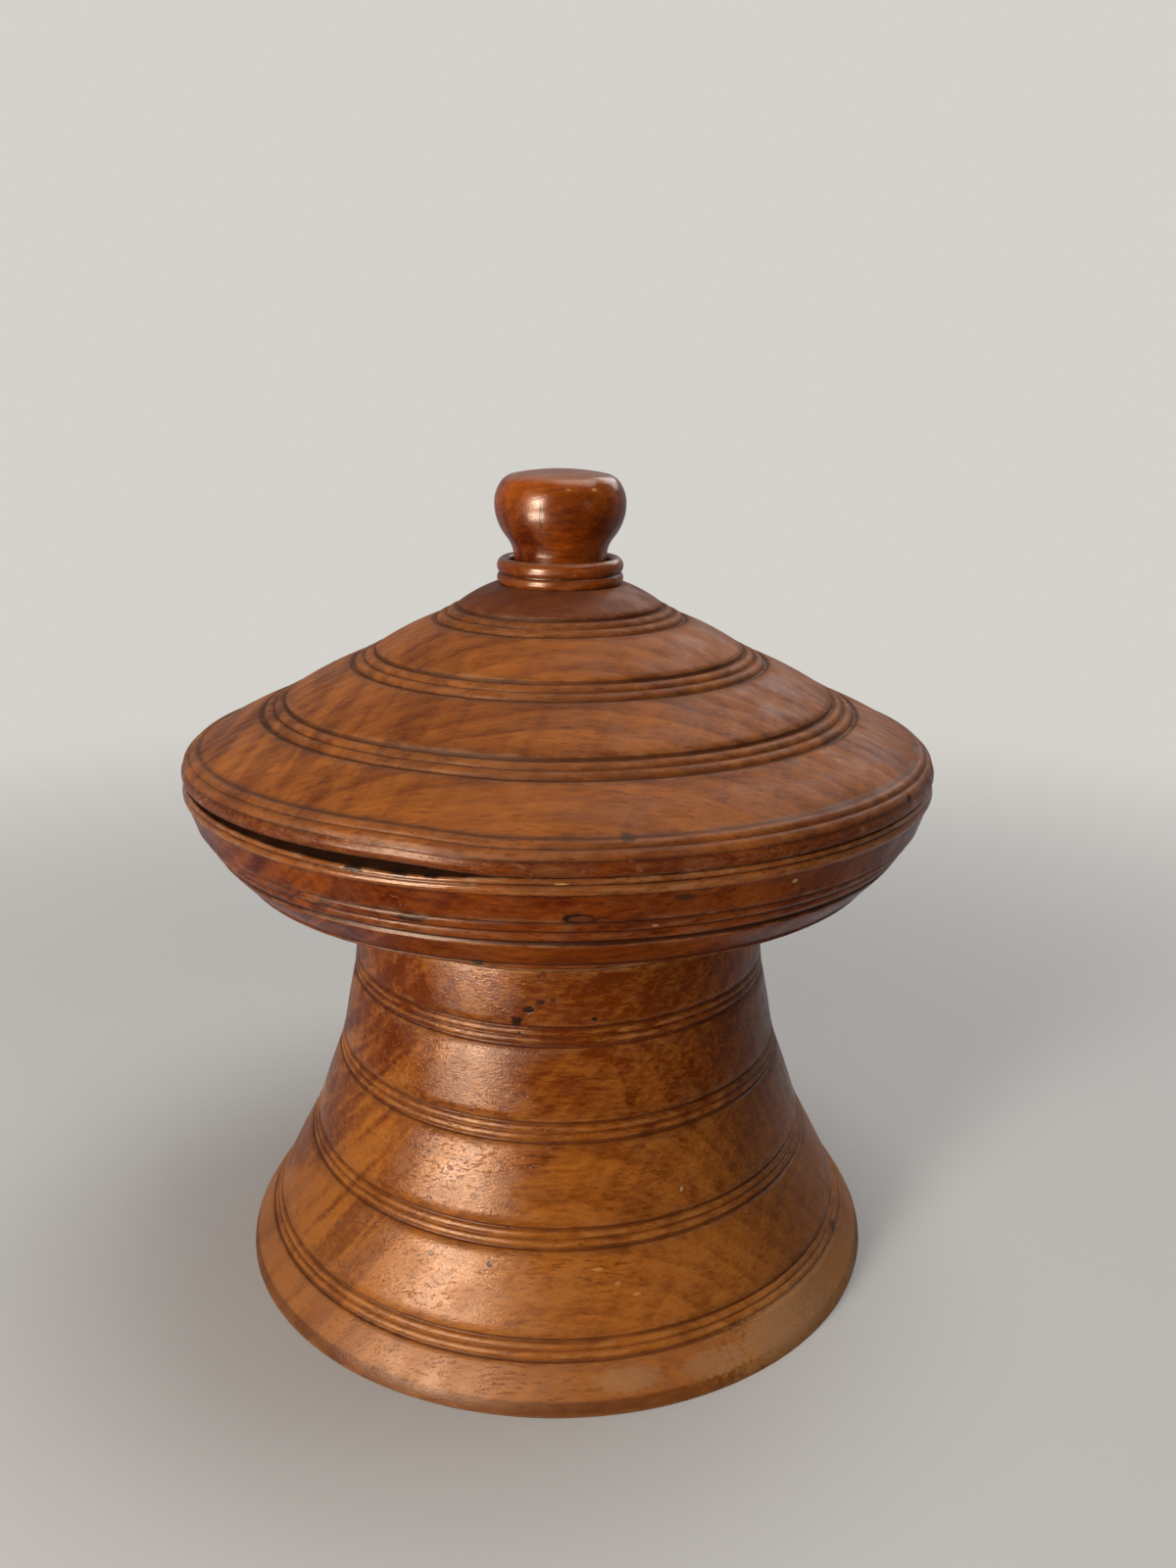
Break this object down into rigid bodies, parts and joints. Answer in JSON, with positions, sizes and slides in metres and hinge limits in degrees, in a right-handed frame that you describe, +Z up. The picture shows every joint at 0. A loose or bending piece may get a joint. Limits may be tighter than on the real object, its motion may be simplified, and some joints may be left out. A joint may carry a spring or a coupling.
{
  "type": "offering box",
  "caption": "Turned wooden offering box: shallow round bowl on a flared hollow pedestal, closed by a conical lift-off lid with a knob.",
  "frame": {"origin": "on the surface that the foot stands on, under the turning axis", "axes": "+Z up along the turning axis; -Y is the side that faces the picture's camera, +X is to its right"},
  "size_m": [0.3671, 0.3672, 0.4011],
  "materials": {
    "pedestal_wood": "satin oiled turned wood, orange brown, worn pale at the foot",
    "bowl_wood": "glossy red-brown turned wood with worn bead edges",
    "lid_wood": "dull dusty brown turned wood with dark dirt in the grooves",
    "knob_wood": "glossy hand-polished red-brown turned wood",
    "wedge_wood": "bare unpolished hardwood"
  },
  "bodies": {
    "base": {"pedestal": "pedestal_wood", "bowl": "bowl_wood"},
    "lid_group": {"lid": "lid_wood", "collar": "knob_wood", "knob": "knob_wood", "tenon_wedge": "wedge_wood"}
  },
  "joints": [
    {"name": "lid_lift", "type": "slide", "parent": "base", "child": "lid_group", "axis": [0, 0, 1], "range_m": [0, 0.16]}
  ]
}
